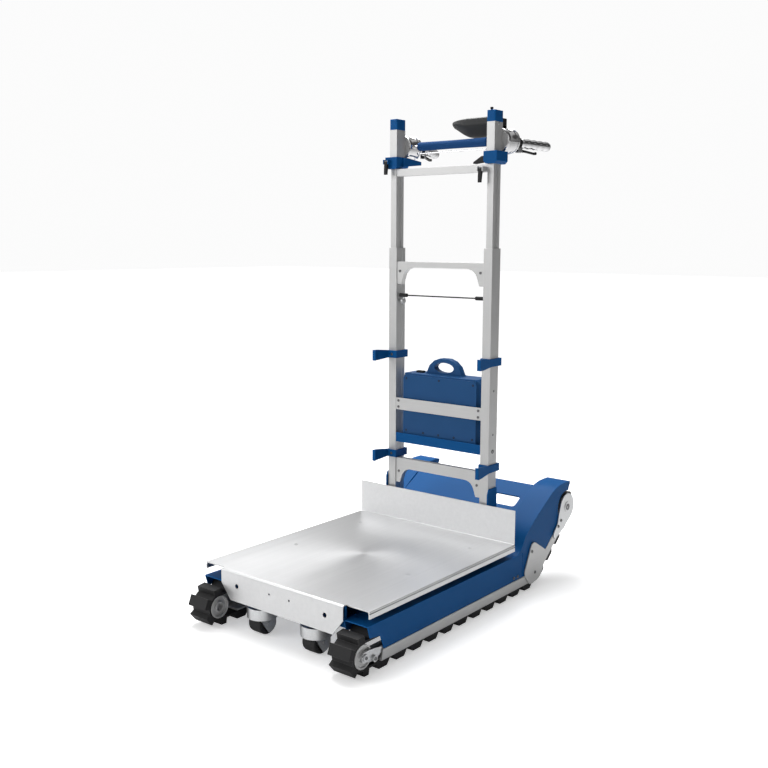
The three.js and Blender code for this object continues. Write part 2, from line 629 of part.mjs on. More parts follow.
// Handles: flange and straight neck turning in the hub, then a grip bent outwards.
{
  const turn = (g) => {
    g.translate(-POST_X, -BEND.y, -GRIP_Z);
    g.rotateZ((-BEND.out * Math.PI) / 180);
    g.translate(POST_X, BEND.y, GRIP_Z);
    return solid(g);
  };
  const neck = rodY(POST_X, GRIP_Z, 11, 744, BEND.y + 3, 24);
  const flange = join(rodY(POST_X, GRIP_Z, 33, 790, 797, 40), rodY(POST_X, GRIP_Z, 20, 796, 812, 32));
  const l = BEND.length;
  const profile = [
    [0, -12], [14.5, -12], [15, -9], [15, 3], [14, 8], [14.5, l - 16], [13, l - 7], [9, l - 2], [0, l],
  ];
  const grip = new THREE.LatheGeometry(profile.map(([r, t]) => new THREE.Vector2(r, t)), 24);
  grip.rotateX((-BEND.dip * Math.PI) / 180);
  grip.translate(POST_X, BEND.y, GRIP_Z);
  // cheeks under the grip's root hold the brake lever's pin
  const cheeks = [-1, 1].map((s) => {
    const [a, b] = between(s, 5.4, 8);
    const g = new THREE.BoxGeometry(b - a, 16, 20);
    g.translate(POST_X + (a + b) / 2, BEND.y, GRIP_Z - 20);
    return turn(g);
  });
  addPair("handle", join(neck, flange, turn(grip), ...cheeks), chrome);
  const lever = outline([
    [-9, -18.5], [9, -18.5], [22, -20], [60, -25], ...arc(66, -27, 4.5, 90, -120, 6),
    [24, -26], [6, -28], [-9, -26],
  ]);
  const blade = new THREE.ExtrudeGeometry(lever, { depth: 10, bevelEnabled: false });
  blade.applyMatrix4(new THREE.Matrix4().set(0, 0, 1, -5, 1, 0, 0, 0, 0, 1, 0, 0, 0, 0, 0, 1));
  blade.translate(POST_X, BEND.y, GRIP_Z);
  addPair("brake_lever", turn(blade), plastic);
}
// Cam levers that lock the height, each hanging in its fork.
function camLever(x, z) {
  const { y } = CAM;
  const blade = [
    [y - 5.6, z], [y + 5.6, z], [y + 3, z - 12], [y + 1, z - 22], [y - 1, z - 37], [y - 7, z - 37],
    [y - 7, z - 22],
  ];
  return join(prismX(blade, x - 5, x + 5), rodX(y, z, 6.2, x - 7, x + 7, 16));
}
add("cam_lever_left", camLever(...CAM.left), plastic);
add("cam_lever_right", camLever(...CAM.right), plastic);

// ---------------------------------------------------------------- console and controls
{
  const section = [
    [766, 1427], [760, 1406], [790, 1374], [836, 1374], [843, 1384], [838, 1398], [774, 1431],
  ];
  // seen from the front it narrows to a blunt nose on the free end
  const front = [[-26, 1410], [-24, 1428], [0, 1434], [152, 1434], [152, 1372], [90, 1372], [33, 1381]];
  const taper = [[-60, 740], [22, 740], [-14, 768], [-24, 792], [-14, 826], [22, 860], [-60, 860]];
  const slab = prismX(section, -40, 152).intersect(prismY(front, 740, 860));
  const nose = prismZ(taper, 1300, 1500);
  const mount = join(box(140, 172, 738.6, 800, 1392, 1402), box(140, 172, 770, 800, 1392, 1424));
  // a round bar square with the sloping face, its middle this far outside the face
  const face = { y: 806, z: 1414.5, slope: Math.atan2(64, 33) };
  const stud = (x, r, length, out) => {
    const g = new THREE.CylinderGeometry(r, r, length, 24);
    g.rotateX(face.slope);
    g.translate(x, face.y + out * Math.cos(face.slope), face.z + out * Math.sin(face.slope));
    return solid(g);
  };
  const KEYS = { button_up: 45, button_down: 85 };
  const pockets = Object.values(KEYS).map((x) => stud(x, 9.6, 16, 0));
  add("console", cut(join(slab, mount), nose, ...pockets), panel);
  for (const [name, x] of Object.entries(KEYS)) add(name, stud(x, 9, 9, 2), plastic);
  add("cap_button", join(
    rodZ(POST_X - 6, 704, 3.3, CAP.top - 9, CAP.top + 8, 16),
    rodZ(POST_X - 6, 704, 4.6, CAP.top + 3.6, CAP.top + 9, 16),
  ), plastic);
}

// ---------------------------------------------------------------- height release and battery
add("release_rod", join(
  rodX(704, 892, 2.2, -152, 152, 12),
  rodX(704, 892, 6, -158, -130, 16), rodX(704, 892, 6, 130, 158, 16),
), plastic);
{
  const { half, front, back, bottom, top, arch } = PACK;
  const plan = [
    [-half, front + 12], [-half + 13, front], [half - 13, front], [half, front + 12], [half, back - 12],
    [half - 13, back], [-half + 13, back], [-half, back - 12],
  ];
  const face = [
    [-half, bottom], [half, bottom], [half, top - 14], [half - 12, top], [-half + 12, top], [-half, top - 14],
  ];
  const shellBody = prismZ(plan, bottom, top).intersect(prismY(face, front - 5, back + 5));
  const mid = (front + back) / 2;
  const bow = [
    [-74, top - 2], [-66, top + 6], [-56, top + 28], [-38, arch - 8], [-16, arch], [16, arch], [38, arch - 8],
    [56, top + 28], [66, top + 6], [74, top - 2],
  ];
  const hole = Array.from({ length: 20 }, (_, i) => {
    const t = (i / 20) * 2 * Math.PI;
    return [37 * Math.cos(t), top + 23 + 16 * Math.sin(t)];
  });
  const carry = cut(prismY(bow, mid - 12, mid + 12), prismY(hole, mid - 20, mid + 20));
  const latchSlot = box(-112, -84, mid - 8, mid + 8, top - 10, top + 2);
  add("battery_pack", cut(join(shellBody, carry), latchSlot), shell);
  add("battery_latch", box(-111, -85, mid - 7, mid + 7, top - 6, top + 6), plastic);
}

export default trolley;
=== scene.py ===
# %% [markdown]
# # A tracked platform trolley
# A steel deck rides between two rubber crawler tracks, and a telescopic mast at the back carries
# a battery, a push bar and two handles. The frame below holds the sizes and the joints. This
# script gives every piece its finish, its rounded edges and its small hardware.

# %% Load the frame
import json
import math

import bmesh
import bpy
from mathutils import Matrix, Vector


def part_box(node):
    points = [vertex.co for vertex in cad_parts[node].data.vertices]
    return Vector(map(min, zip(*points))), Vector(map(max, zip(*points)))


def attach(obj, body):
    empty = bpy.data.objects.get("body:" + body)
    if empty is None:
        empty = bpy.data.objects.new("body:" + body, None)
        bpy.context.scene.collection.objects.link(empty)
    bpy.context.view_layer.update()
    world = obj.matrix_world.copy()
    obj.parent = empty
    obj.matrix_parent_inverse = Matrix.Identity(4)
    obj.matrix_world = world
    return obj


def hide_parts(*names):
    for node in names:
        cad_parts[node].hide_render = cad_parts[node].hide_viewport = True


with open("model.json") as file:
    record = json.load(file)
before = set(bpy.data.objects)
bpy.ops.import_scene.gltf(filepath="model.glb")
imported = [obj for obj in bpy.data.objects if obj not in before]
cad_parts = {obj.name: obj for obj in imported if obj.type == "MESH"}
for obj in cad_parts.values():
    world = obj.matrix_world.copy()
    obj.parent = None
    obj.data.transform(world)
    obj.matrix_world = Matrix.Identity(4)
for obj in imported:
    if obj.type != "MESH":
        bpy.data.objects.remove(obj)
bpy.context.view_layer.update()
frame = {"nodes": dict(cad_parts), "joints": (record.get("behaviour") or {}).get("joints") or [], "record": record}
NODES = frame["nodes"]
BODY_OF = {n: body for body, names in frame["record"]["behaviour"]["bodies"].items() for n in names}
PIVOT = {j["name"]: Vector(j["pos_m"]) for j in frame["joints"] if "pos_m" in j}
MOUNT = {m["name"]: Vector(m["pos_m"]) for m in frame["record"]["mounts"]}
MM = 0.001
SIDES = {"right": 1, "left": -1}

# %% [markdown]
# ## Reading places from the frame
# Most places are read from the frame, as a share of the way across a node's box or as a joint's
# pivot, so they follow the design if it changes. The few plain measures are named where used.


# %% Places
def at(node, x, y, z):
    """The point that is these shares, 0 to 1, of the way across a node's box."""
    low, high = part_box(node)
    return Vector([a + (b - a) * share for a, b, share in zip(low, high, (x, y, z))])


def size(node):
    low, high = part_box(node)
    return high - low


DECK_TOP = MOUNT["deck_top"].z

# %% [markdown]
# ## The camera
# The trolley is seen from its front right corner, a little above the deck, with a moderate lens.
# The camera is built from a heading, a pitch and a roll instead of a target object, because three
# angles are easy to read and to change one at a time.

# %% Camera
CAMERA_AT = Vector((1.7256, -2.2170, 1.0541))
HEADING, PITCH, ROLL = (math.radians(a) for a in (38.69, -8.31, 0.22))
LENS = 45.09

across = Vector((math.cos(HEADING), math.sin(HEADING), 0))
ahead = Vector((-math.sin(HEADING), math.cos(HEADING), 0)) * math.cos(PITCH)
ahead.z = math.sin(PITCH)
upward = across.cross(ahead)
right = across * math.cos(ROLL) + upward * math.sin(ROLL)
up = right.cross(ahead)
camera = bpy.data.objects.new("camera", bpy.data.cameras.new("camera"))
camera.matrix_world = Matrix((right, up, -ahead)).transposed().to_4x4()
camera.location = CAMERA_AT
camera.data.lens = LENS
camera.data.sensor_width = 36
camera.data.clip_end = 60
bpy.context.scene.collection.objects.link(camera)
bpy.context.scene.camera = camera
print("camera looks along", [round(v, 3) for v in ahead])

# %% [markdown]
# ## A pale studio
# Painted metal and bare aluminium show their shape through what they reflect. The camera sees a
# white sky, while the trolley is lit by a dimmer one that darkens to the right and carries soft
# light and dark bands, like cards set round it. One wide lamp in front on the left lights the
# front faces, and a lamp overhead lights the deck and the tails. The floor glows a little towards
# the lens, and more with distance, so that it runs into the sky.


# %% Floor, world and lamps
def plain_material(name, colour, roughness):
    material = bpy.data.materials.new(name)
    material.use_nodes = True
    shader = material.node_tree.nodes["Principled BSDF"]
    shader.inputs["Base Color"].default_value = (*colour, 1)
    shader.inputs["Roughness"].default_value = roughness
    return material


def lamp(name, place, target, power, wide, tall):
    data = bpy.data.lights.new(name, "AREA")
    data.shape = "RECTANGLE"
    data.energy, data.size, data.size_y = power, wide, tall
    light = bpy.data.objects.new(name, data)
    light.location = place
    light.rotation_euler = (Vector(target) - Vector(place)).to_track_quat("-Z", "Y").to_euler()
    bpy.context.scene.collection.objects.link(light)


FLOOR = 30
floor_mesh = bpy.data.meshes.new("floor")
corners = [(x * FLOOR, y * FLOOR, 0) for x, y in ((-1, -1), (1, -1), (1, 1), (-1, 1))]
floor_mesh.from_pydata(corners, [], [(0, 1, 2, 3)])
pale = plain_material("pale_floor", (0.9, 0.9, 0.9), 0.8)
paper = pale.node_tree
paper.nodes["Principled BSDF"].inputs["Emission Strength"].default_value = 1.0
spot = paper.nodes.new("ShaderNodeTexCoord")
away = paper.nodes.new("ShaderNodeVectorMath")
away.operation = "LENGTH"
paper.links.new(spot.outputs["Object"], away.inputs[0])
glow = paper.nodes.new("ShaderNodeMapRange")             # the sweep brightens beyond the trolley
glow.inputs["From Min"].default_value, glow.inputs["From Max"].default_value = 0.9, 5.0
glow.inputs["To Min"].default_value, glow.inputs["To Max"].default_value = 0.44, 0.70
paper.links.new(away.outputs["Value"], glow.inputs["Value"])
faced = paper.nodes.new("ShaderNodeMix")                 # glows less for anything but the lens
faced.inputs["A"].default_value = 0.06
lens_ray = paper.nodes.new("ShaderNodeLightPath").outputs["Is Camera Ray"]
paper.links.new(lens_ray, faced.inputs["Factor"])
paper.links.new(glow.outputs["Result"], faced.inputs["B"])
paper.links.new(faced.outputs["Result"], paper.nodes["Principled BSDF"].inputs["Emission Color"])
floor_mesh.materials.append(pale)
floor = bpy.data.objects.new("floor", floor_mesh)
bpy.context.scene.collection.objects.link(floor)

world = bpy.data.worlds.new("studio")
world.use_nodes = True
sky = world.node_tree
background = sky.nodes["Background"]
background.inputs["Color"].default_value = (1, 1, 1, 1)
seen = sky.nodes.new("ShaderNodeLightPath")
heading = sky.nodes.new("ShaderNodeTexCoord")
shade = sky.nodes.new("ShaderNodeVectorMath")
shade.operation = "DOT_PRODUCT"
shade.inputs[1].default_value = (-0.31, -0.10, 0.22)     # darker towards the right-hand side
sky.links.new(heading.outputs["Generated"], shade.inputs[0])
fill = sky.nodes.new("ShaderNodeMath")
fill.operation = "ADD"
fill.inputs[1].default_value = 0.36
sky.links.new(shade.outputs["Value"], fill.inputs[0])
cards = sky.nodes.new("ShaderNodeTexWave")               # light and dark cards round the set
cards.bands_direction = "DIAGONAL"
cards.inputs["Scale"].default_value = 1.1
cards.inputs["Distortion"].default_value = 1.2
sky.links.new(heading.outputs["Generated"], cards.inputs["Vector"])
contrast = sky.nodes.new("ShaderNodeMapRange")
contrast.inputs["From Min"].default_value, contrast.inputs["From Max"].default_value = 0.25, 0.6
contrast.inputs["To Min"].default_value, contrast.inputs["To Max"].default_value = 0.25, 1.25
sky.links.new(cards.outputs["Fac"], contrast.inputs["Value"])
lit = sky.nodes.new("ShaderNodeMath")
lit.operation = "MULTIPLY"
sky.links.new(fill.outputs[0], lit.inputs[0])
sky.links.new(contrast.outputs["Result"], lit.inputs[1])
strength = sky.nodes.new("ShaderNodeMix")
strength.inputs["B"].default_value = 0.97
sky.links.new(seen.outputs["Is Camera Ray"], strength.inputs["Factor"])
sky.links.new(lit.outputs[0], strength.inputs["A"])
sky.links.new(strength.outputs["Result"], background.inputs["Strength"])
bpy.context.scene.world = world
bpy.context.scene.view_settings.view_transform = "Standard"
lamp("key", (-2.4, -3.4, 2.4), (0, 0, 0.6), 52, 2.4, 2.0)
lamp("overhead", (-1.05, 0.8, 3.2), (0, 0, 0.2), 128, 2.5, 2.5)
print("studio ready")

# %% [markdown]
# ## Writing shaders as sums
# A finish is a few patterns added and scaled together. Wrapping a socket in a small class lets
# those sums be written as ordinary Python, and each sum adds its own Math node behind the scenes.


# %% The Socket and Finish classes
class Socket:
    def __init__(self, finish, socket):
        self.finish, self.socket = finish, socket

    def _math(self, operation, first, second):
        return self.finish.node("ShaderNodeMath", {"operation": operation}, {0: first, 1: second})

    def __add__(self, other):
        return self._math("ADD", self, other)

    def __sub__(self, other):
        return self._math("SUBTRACT", self, other)

    def __rsub__(self, other):
        return self._math("SUBTRACT", other, self)

    def __mul__(self, other):
        return self._math("MULTIPLY", self, other)

    def __pow__(self, other):
        return self._math("POWER", self, other)

    __radd__ = __add__
    __rmul__ = __mul__


class Finish:
    """A Principled material: constants go straight on its sockets, patterns are linked later."""

    def __init__(self, name, **constants):
        self.material = bpy.data.materials.new(name)
        self.material.use_nodes = True
        self.tree = self.material.node_tree
        self.shader = self.tree.nodes["Principled BSDF"]
        for label, value in constants.items():
            self.shader.inputs[label.replace("_", " ")].default_value = value

    def put(self, socket, value):
        if isinstance(value, Socket):
            self.tree.links.new(value.socket, socket)
        else:
            socket.default_value = value

    def node(self, kind, settings=None, values=None, out=0):
        made = self.tree.nodes.new(kind)
        for key, value in (settings or {}).items():
            setattr(made, key, value)
        for key, value in (values or {}).items():
            self.put(made.inputs[key], value)
        return Socket(self, made.outputs[out])

    def noise(self, scale, stretch=(1, 1, 1), detail=2.0, roughness=0.5):
        place = self.node("ShaderNodeTexCoord", out=3)
        mapped = self.node("ShaderNodeMapping", None, {"Vector": place, "Scale": stretch})
        values = {"Vector": mapped, "Scale": scale, "Detail": detail, "Roughness": roughness}
        return self.node("ShaderNodeTexNoise", {"normalize": True}, values)

    def rim(self):
        """1 on the small faces that round an edge, 0 elsewhere."""
        return self.node("ShaderNodeAttribute", {"attribute_name": "rim"}, None, out=2)

    def mix(self, factor, first, second):
        values = {0: factor, 6: (*first, 1) if isinstance(first, tuple) else first,
                  7: (*second, 1) if isinstance(second, tuple) else second}
        return self.node("ShaderNodeMix", {"data_type": "RGBA"}, values, out=2)

    def set(self, **links):
        for label, value in links.items():
            self.put(self.shader.inputs[label.replace("_", " ")], value)

    def bump(self, height, strength, distance):
        values = {"Height": height, "Strength": strength, "Distance": distance}
        self.set(Normal=self.node("ShaderNodeBump", None, values))


# %% [markdown]
# ## Powder coat
# The blue parts are powder coated: an even, half-gloss skin with a very fine orange-peel ripple.
# One noise a millimetre or two wide makes the ripple, a finer one adds speckle, and one a hand
# wide gives the faint cloudiness of a large painted sheet. The rounded edges are painted paler,
# a painted highlight along each edge.


# %% Paint and moulded finishes
def powder_coat(name, deep, pale, roughness=0.36):
    f = Finish(name, Specular_IOR_Level=0.06)
    cloud = f.noise(5, detail=3)
    peel = f.noise(620, detail=1)
    speck = f.noise(1500, detail=1)
    tone = f.mix(cloud * 0.5 + speck * 0.12, deep, pale)
    # painted highlight: the rounded edges get a paler blue
    edge = tuple(min(1, c * 1.7 + 0.01) for c in pale)
    f.set(Base_Color=f.mix(f.rim() * 0.45, tone, edge), Roughness=roughness + cloud * 0.08)
    f.bump(peel, 0.12, 0.0004)
    return f.material


def moulded(name, dark, light, roughness=0.55, grain=900, depth=0.2):
    """Plastic from a spark-eroded tool: a fine even grain, a little shinier where hands rub."""
    f = Finish(name, Specular_IOR_Level=0.22)
    grainy = f.noise(grain, detail=2)
    rubbed = f.noise(14, detail=3)
    tone = f.mix(grainy * 0.35 + rubbed * 0.3, dark, light)
    # painted highlight: the rounded edges get a paler colour
    wear_and_edge_highlight = tuple(min(1, c * 1.5 + 0.01) for c in light)
    f.set(Base_Color=f.mix(f.rim() * 0.4, tone, wear_and_edge_highlight))
    f.set(Roughness=roughness - 0.12 * rubbed + grainy * 0.08)
    f.bump(grainy, depth, 0.0003)
    return f.material


BLUE = powder_coat("blue_powder_coat", (0.004, 0.080, 0.255), (0.007, 0.107, 0.335))
ENAMEL = powder_coat("motor_enamel", (0.016, 0.018, 0.021), (0.030, 0.033, 0.037), 0.42)
BLUE_PLASTIC = moulded("battery_plastic", (0.005, 0.062, 0.190), (0.008, 0.086, 0.250), 0.45)
BLACK_PLASTIC = moulded("black_plastic", (0.010, 0.010, 0.011), (0.022, 0.022, 0.024), 0.5)
POD_PLASTIC = moulded("console_plastic", (0.022, 0.023, 0.024), (0.040, 0.041, 0.043), 0.55, 700)
print("paints and plastics:", len(bpy.data.materials))

# %% [markdown]
# ## Bare metals
# The deck is brushed sheet: long fine scratches one way, which stretch a highlight across them.
# The mast is extruded and anodised, with faint lines along its length. A noise squeezed hard
# across the line direction gives both, and it drives roughness and bump more than colour.


# %% Brushed, anodised, plated and polished metal
def stretched(axis, across, along):
    return tuple(along if i == "XYZ".index(axis) else across for i in range(3))


def brushed_sheet(name, axis):
    f = Finish(name, Metallic=1.0, Anisotropic=0.35)
    hair = f.noise(1, stretched(axis, 1400, 9), detail=4, roughness=0.6)
    band = f.noise(1, stretched(axis, 90, 1.2), detail=3)
    tone = f.mix(hair * 0.5 + band * 0.4, (0.54, 0.545, 0.55), (0.74, 0.74, 0.745))
    # painted highlight: the rounded edges get a paler grey
    f.set(Base_Color=f.mix(f.rim() * 0.6, tone, (0.86, 0.86, 0.87)))
    f.set(Roughness=0.27 + hair * 0.16 + band * 0.05)
    f.bump(hair, 0.10, 0.0002)
    return f.material


def anodised(name, axis, dark=(0.50, 0.50, 0.50), light=(0.66, 0.66, 0.655)):
    f = Finish(name, Metallic=0.55)
    line = f.noise(1, stretched(axis, 520, 2.5), detail=3)
    bloom = f.noise(9, detail=3)
    tone = f.mix(line * 0.5 + bloom * 0.4, dark, light)
    # painted highlight: the rounded edges get a paler grey
    f.set(Base_Color=f.mix(f.rim() * 0.5, tone, (0.80, 0.80, 0.80)))
    f.set(Roughness=0.34 + line * 0.14 + bloom * 0.06)
    f.bump(line, 0.08, 0.0002)
    return f.material


def plated(name, dark=(0.46, 0.47, 0.48), light=(0.74, 0.745, 0.75)):
    """Zinc plate: a soft grey shine with a cloudy spangle a few millimetres across."""
    f = Finish(name, Metallic=0.95)
    spangle = f.noise(190, detail=3)
    fine = f.noise(1100, detail=1)
    tone = f.mix(spangle * 0.7 + fine * 0.2, dark, light)
    # painted highlight: the rounded edges get a paler grey
    f.set(Base_Color=f.mix(f.rim() * 0.5, tone, (0.84, 0.84, 0.84)))
    f.set(Roughness=0.24 + spangle * 0.16)
    f.bump(fine, 0.06, 0.0002)
    return f.material


def polished(name):
    f = Finish(name, Metallic=1.0)
    smear = f.noise(38, detail=3)
    f.set(Base_Color=f.mix(smear, (0.70, 0.70, 0.71), (0.86, 0.86, 0.87)))
    f.set(Roughness=0.05 + smear * 0.09)
    f.bump(smear, 0.02, 0.0005)
    return f.material


STEEL = brushed_sheet("brushed_stainless", "Y")
ALUMINIUM = {axis: anodised(f"anodised_aluminium_{axis.lower()}", axis) for axis in "XYZ"}
ZINC = plated("zinc_plate")
BOLT = plated("bolt_steel", (0.13, 0.13, 0.135), (0.24, 0.24, 0.245))
CHROME = polished("polished_chrome")
print("metals:", [m.name for m in (STEEL, ZINC, CHROME)])

# %% [markdown]
# ## Rubber and foam
# The crawler belts are black moulded rubber, matt and slightly dusty, with a painted highlight on their edges.
# The push bar has a closed-cell foam sleeve: its skin is covered in tiny round cells, so a
# Voronoi pattern makes the bump instead of noise.


# %% Rubber and foam
def rubber(name):
    f = Finish(name, Specular_IOR_Level=0.35)
    dust = f.noise(26, detail=4)
    grit = f.noise(480, detail=2)
    tone = f.mix(dust * 0.4 + grit * 0.25, (0.009, 0.009, 0.010), (0.034, 0.034, 0.035))
    # painted highlight: the rounded edges get a paler grey
    f.set(Base_Color=f.mix(f.rim() * 0.35, tone, (0.075, 0.075, 0.076)))
    f.set(Roughness=0.52 + dust * 0.2 + grit * 0.1)
    f.bump(grit, 0.25, 0.0005)
    return f.material


def foam(name):
    f = Finish(name, Specular_IOR_Level=0.12)
    place = f.node("ShaderNodeTexCoord", out=3)
    cells = f.node("ShaderNodeTexVoronoi", None, {"Vector": place, "Scale": 620})
    wear_and_edge_highlight = f.noise(20, detail=3)
    tone = f.mix(cells * 0.6 + wear_and_edge_highlight * 0.2, (0.018, 0.080, 0.235), (0.006, 0.044, 0.150))
    f.set(Base_Color=tone, Roughness=0.72 + wear_and_edge_highlight * 0.15)
    f.bump(cells, 0.35, 0.0004)
    return f.material


RUBBER = rubber("belt_rubber")
FOAM = foam("blue_foam")

# %% [markdown]
# ## Giving a plain solid its rounded edges
# A folded sheet or a moulding never has a knife edge, and the thin highlight along a rounded edge
# is what makes it look real. The node's triangles are merged back into flat faces, every sharp
# edge gets a small bevel, and the bevel's faces are marked so that each finish can paint them
# paler as a painted highlight.


# %% Turning meshes into finished pieces
ROLL = 2.8 * MM        # outer radius of the deck's rolled edge


def settle(name, source, finish, body, replaces=(), angle=38):
    """Bakes an object's modifiers into a new mesh piece, smooths it and puts it on its body."""
    shown = source.evaluated_get(bpy.context.evaluated_depsgraph_get())
    mesh = bpy.data.meshes.new_from_object(shown)
    bpy.data.objects.remove(source)
    mesh.name = name
    if finish is not None:
        mesh.materials.clear()
        mesh.materials.append(finish)
    mesh.shade_smooth()
    mesh.set_sharp_from_angle(angle=math.radians(angle))
    piece = bpy.data.objects.new(name, mesh)
    bpy.context.scene.collection.objects.link(piece)
    weighted = piece.modifiers.new("normals", "WEIGHTED_NORMAL")
    weighted.keep_sharp = True
    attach(piece, body)
    if replaces:
        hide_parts(*replaces)
    return piece


def loose(name, bm):
    mesh = bpy.data.meshes.new(name)
    bm.to_mesh(mesh)
    bm.free()
    made = bpy.data.objects.new(name, mesh)
    bpy.context.scene.collection.objects.link(made)
    bpy.context.view_layer.update()
    return made


def round_edges(bm, width, segments, angle):
    rim = bm.faces.layers.float.new("rim")
    sharp = [e for e in bm.edges if e.is_manifold and e.calc_face_angle(0) > math.radians(angle)]
    made = bmesh.ops.bevel(
        bm, geom=sharp, offset=width, offset_type="OFFSET", segments=segments, profile=0.5,
        affect="EDGES", clamp_overlap=True,
    )
    # the marked rim faces carry a painted highlight in each finish
    for face in made["faces"]:
        face[rim] = 1.0


def roll_deck(bm):
    """Rounds the deck's two long edges over, as a folded sheet is."""
    wide = max(v.co.x for v in bm.verts if abs(v.co.z - DECK_TOP) < 1e-4)
    long_edges = [
        e for e in bm.edges
        if all(abs(v.co.z - DECK_TOP) < 1e-4 and abs(abs(v.co.x) - wide) < 1e-4 for v in e.verts)
    ]
    bmesh.ops.bevel(bm, geom=long_edges, offset=ROLL, offset_type="OFFSET", segments=5,
                    profile=0.5, affect="EDGES", clamp_overlap=False)
    print("deck edges rolled:", len(long_edges))


def soften(node, finish, width=0.8 * MM, segments=2, angle=30):
    bm = bmesh.new()
    bm.from_mesh(NODES[node].data)
    bmesh.ops.remove_doubles(bm, verts=bm.verts, dist=1e-5)
    bmesh.ops.dissolve_limit(bm, angle_limit=math.radians(0.6), verts=bm.verts, edges=bm.edges)
    if node == "platform_sheet":
        roll_deck(bm)
    round_edges(bm, width, segments, angle)
    source = loose(node, bm)
    return settle(f"{node}_skin", source, finish, BODY_OF[node], [node])


# %% [markdown]
# Most nodes need only that: the right finish and an edge of the right size. A table of node,
# finish and edge width says it once, and names without a side stand for the left and right pair.

# %% Rounded pieces
PAIRS = {
    "side_rail": (BLUE, 1.0), "tail_cover": (BLUE, 1.2), "upper_hook": (BLUE, 0.8),
    "lower_hook": (BLUE, 0.8), "post_clamp": (BLUE, 1.0), "post_cap": (BLUE, 1.2),
    "crawler_belt": (RUBBER, 1.6), "track_guide": (ALUMINIUM["Y"], 0.5),
    "idler_wheel": (ALUMINIUM["X"], 0.7), "knee_plate": (ALUMINIUM["Y"], 0.7),
    "mast_post": (ALUMINIUM["Z"], 1.2),
    "sleeve": (ALUMINIUM["Z"], 1.2), "front_tensioner": (ZINC, 0.6),
    "rear_tensioner": (ZINC, 0.7), "drive_drum": (ZINC, 0.6), "caster_fork": (ZINC, 0.6),
    "brake_lever": (BLACK_PLASTIC, 0.8), "cam_lever": (BLACK_PLASTIC, 0.8),
}
SINGLES = {
    "platform_sheet": (STEEL, 0.5), "cross_beam_front": (BLUE, 1.2), "cross_beam_rear": (BLUE, 0.8),
    "rear_panel": (BLUE, 0.7), "battery_tray": (BLUE, 0.7), "upper_crossbar": (ALUMINIUM["X"], 0.8),
    "lower_crossbar": (ALUMINIUM["X"], 0.8), "middle_bar": (ALUMINIUM["X"], 0.7),
    "top_crossbar": (ALUMINIUM["X"], 0.9), "drive_gearbox": (ENAMEL, 1.5),
    "button_up": (BLACK_PLASTIC, 0.8), "button_down": (BLACK_PLASTIC, 0.8),
    "cap_button": (BLACK_PLASTIC, 0.7), "battery_latch": (BLACK_PLASTIC, 0.8),
    "release_rod": (BLACK_PLASTIC, 0.5),
}
table = {f"{stem}_{side}": row for stem, row in PAIRS.items() for side in SIDES} | SINGLES
for node, (finish, width) in table.items():
    soften(node, finish, width * MM)
print(len(table), "nodes softened")

# %% [markdown]
# ## Turned pieces
# Handles, wheels and the foam grip are bodies of revolution. A lathe function sweeps a profile of
# (radius, distance) points round an axis. It could be Blender's Screw modifier, but a ring of
# points per profile step keeps the winding and the closed ends under our own control.


# %% A lathe and a loft
def skin(rings):
    """Joins closed rings of points into one closed solid, with a face over each end."""
    bm = bmesh.new()
    loops = [[bm.verts.new(point) for point in ring] for ring in rings]
    for lower, upper in zip(loops, loops[1:]):
        for i, vert in enumerate(lower):
            j = (i + 1) % len(lower)
            bm.faces.new((vert, lower[j], upper[j], upper[i]))
    bm.faces.new(loops[0][::-1])
    bm.faces.new(loops[-1])
    bmesh.ops.remove_doubles(bm, verts=bm.verts, dist=1e-6)
    bmesh.ops.recalc_face_normals(bm, faces=bm.faces)
    return bm


def circle(start, axis, radius, distance, segments):
    """The points of one circle round an axis; radius and distance are in millimetres."""
    axis = Vector(axis).normalized()
    side = axis.orthogonal().normalized()
    other = axis.cross(side)
    turns = [2 * math.pi * i / segments for i in range(segments)]
    centre = Vector(start) + axis * distance * MM
    return [centre + (side * math.cos(t) + other * math.sin(t)) * (radius * MM) for t in turns]


def lathe(name, profile, start, axis, segments=48):
    """Turns (radius, distance) points in millimetres round an axis that begins at start."""
    rings = [circle(start, axis, max(r, 0.02), d, segments) for r, d in profile]
    return loose(name, skin(rings))


def turned_ring(name, outline, start, axis, segments=48):
    """Turns a closed outline that stays clear of the axis, for tyres and sleeves with a bore."""
    bm = bmesh.new()
    loops = [[bm.verts.new(p) for p in circle(start, axis, r, d, segments)] for r, d in outline]
    for lower, upper in zip(loops, loops[1:] + loops[:1]):
        for i in range(segments):
            j = (i + 1) % segments
            bm.faces.new((lower[i], lower[j], upper[j], upper[i]))
    bmesh.ops.recalc_face_normals(bm, faces=bm.faces)
    return loose(name, bm)


# %% [markdown]
# ## Inner posts
# The inner posts are extrusions with a track down each side for the wear strips. The section is
# drawn once with its grooves and pulled to length, as the aluminium itself is.

# %% Grooved inner posts
GROOVES = [  # share of the post's depth, then half the width and the depth in millimetres
    (0.16, 0.9, 0.8), (0.50, 4.6, 2.6), (0.84, 0.9, 0.8),
]
for side in SIDES:
    node = f"inner_post_{side}"
    low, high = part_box(node)
    deep = high.y - low.y
    flank = [(0, 0)]
    for share, half, sunk in GROOVES:
        flank += [(share * deep - half * MM, 0), (share * deep - half * MM, sunk * MM),
                  (share * deep + half * MM, sunk * MM), (share * deep + half * MM, 0)]
    flank.append((deep, 0))
    section = [(high.x - inset, low.y + y) for y, inset in flank]
    section += [(low.x + inset, low.y + y) for y, inset in reversed(flank)]
    bm = skin([[Vector((x, y, z)) for x, y in section] for z in (low.z, high.z)])
    round_edges(bm, 0.35 * MM, 1, 40)
    made = loose(node, bm)
    settle(f"{node}_extrusion", made, ALUMINIUM["Z"], BODY_OF[node], [node])
print("inner posts:", round(deep, 3), "m deep")

# %% [markdown]
# ## Handles
# Each handle turns in its eight-sided hub: a polished flange, a rubber boot over the joint, and a
# chromed grip bent outwards with four shallow finger swells. A chromed bell sits round each hub.
# The swells are a cosine along the profile, which is easier to tune than hand-placed points.


